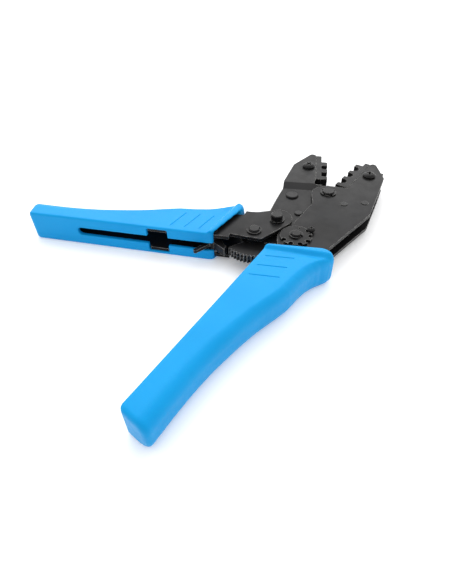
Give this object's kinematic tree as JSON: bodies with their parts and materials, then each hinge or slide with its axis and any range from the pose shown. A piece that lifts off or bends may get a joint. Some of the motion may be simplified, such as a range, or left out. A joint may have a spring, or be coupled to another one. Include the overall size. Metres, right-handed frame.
{
  "type": "crimping tool",
  "caption": "Ratchet crimping tool with toggle-linked jaws, bolted-in nested dies, star-wheel pressure adjuster, release pawl and moulded grips, resting open.",
  "frame": {"origin": "the jaw pivot's axis, half way through the tool's thickness", "axes": "+Z along the jaw pivot, through the flat of the tool; -X along the fixed handle, +X towards the jaws; the moving handle opens towards +Y"},
  "size_m": [0.2312, 0.1746, 0.02],
  "materials": {
    "black_oxide_plate": "satin black oxide on pressed steel plate",
    "black_oxide_die": "black oxide on machined tool steel",
    "black_oxide_fastener": "black oxide, slightly glossier than the plates",
    "spring_steel": "oiled spring wire",
    "blue_grip": "satin moulded sky-blue plastic"
  },
  "bodies": {
    "frame": {"frame_plate_front": "black_oxide_plate", "frame_plate_rear": "black_oxide_plate", "frame_spacer": "black_oxide_plate", "frame_dowels": "black_oxide_fastener", "frame_tang_rivets": "black_oxide_fastener", "jaw_pivot_pin": "black_oxide_fastener", "jaw_pivot_e_ring": "black_oxide_fastener", "fixed_die": "black_oxide_die", "fixed_die_screw": "black_oxide_fastener", "fixed_die_nut": "black_oxide_fastener", "adjuster_lock_screw": "black_oxide_fastener", "fixed_grip": "blue_grip"},
    "moving_jaw": {"moving_jaw_plate_front": "black_oxide_plate", "moving_jaw_plate_rear": "black_oxide_plate", "jaw_rivet_large": "black_oxide_fastener", "jaw_rivet_small": "black_oxide_fastener", "jaw_spacers": "black_oxide_fastener", "moving_die": "black_oxide_die", "moving_die_screw": "black_oxide_fastener", "moving_die_nut": "black_oxide_fastener"},
    "moving_handle": {"handle_plate_front": "black_oxide_plate", "handle_plate_rear": "black_oxide_plate", "handle_pivot_pin": "black_oxide_fastener", "handle_pivot_e_ring": "black_oxide_fastener", "handle_pivot_spacers": "black_oxide_fastener", "link_pin": "black_oxide_fastener", "link_pin_e_ring": "black_oxide_fastener", "link_pin_spacers": "black_oxide_fastener", "handle_tang_rivets": "black_oxide_fastener", "pawl_pin": "black_oxide_fastener", "pawl_pin_spacer": "black_oxide_fastener", "pawl_spring": "spring_steel", "return_spring": "spring_steel", "moving_grip": "blue_grip"},
    "toggle_link": {"toggle_link_front": "black_oxide_plate", "toggle_link_rear": "black_oxide_plate"},
    "release_pawl": {"release_pawl": "black_oxide_plate"},
    "pressure_adjuster": {"adjuster_star_wheel": "black_oxide_plate", "adjuster_eccentric_pin": "black_oxide_fastener", "adjuster_e_ring": "black_oxide_fastener"}
  },
  "joints": [
    {"name": "jaw_closing", "type": "hinge", "parent": "frame", "child": "moving_jaw", "pos_m": [0, 0, 0], "axis": [0, 0, -1], "range_deg": [0, 26.2]},
    {"name": "handle_closing", "type": "hinge", "parent": "moving_jaw", "child": "moving_handle", "pos_m": [-0.0444, 0.0127, 0], "axis": [0, 0, 1], "range_deg": [0, 97.7]},
    {"name": "link_folding", "type": "hinge", "parent": "moving_handle", "child": "toggle_link", "pos_m": [-0.0598, 0.0185, 0], "axis": [0, 0, -1], "range_deg": [0, 105.5], "deforming": ["return_spring"]},
    {"name": "pawl_release", "type": "hinge", "parent": "moving_handle", "child": "release_pawl", "pos_m": [-0.0709, 0.0374, 0], "axis": [0, 0, -1], "range_deg": [0, 12], "deforming": ["pawl_spring"]},
    {"name": "adjuster_turning", "type": "hinge", "parent": "frame", "child": "pressure_adjuster", "pos_m": [-0.0513, -0.0024, 0], "axis": [0, 0, 1], "continuous": true}
  ],
  "couplings": [
    {"joint": "handle_closing", "follows": "jaw_closing", "ratio": 3.7252},
    {"joint": "link_folding", "follows": "jaw_closing", "ratio": 4.0229}
  ]
}
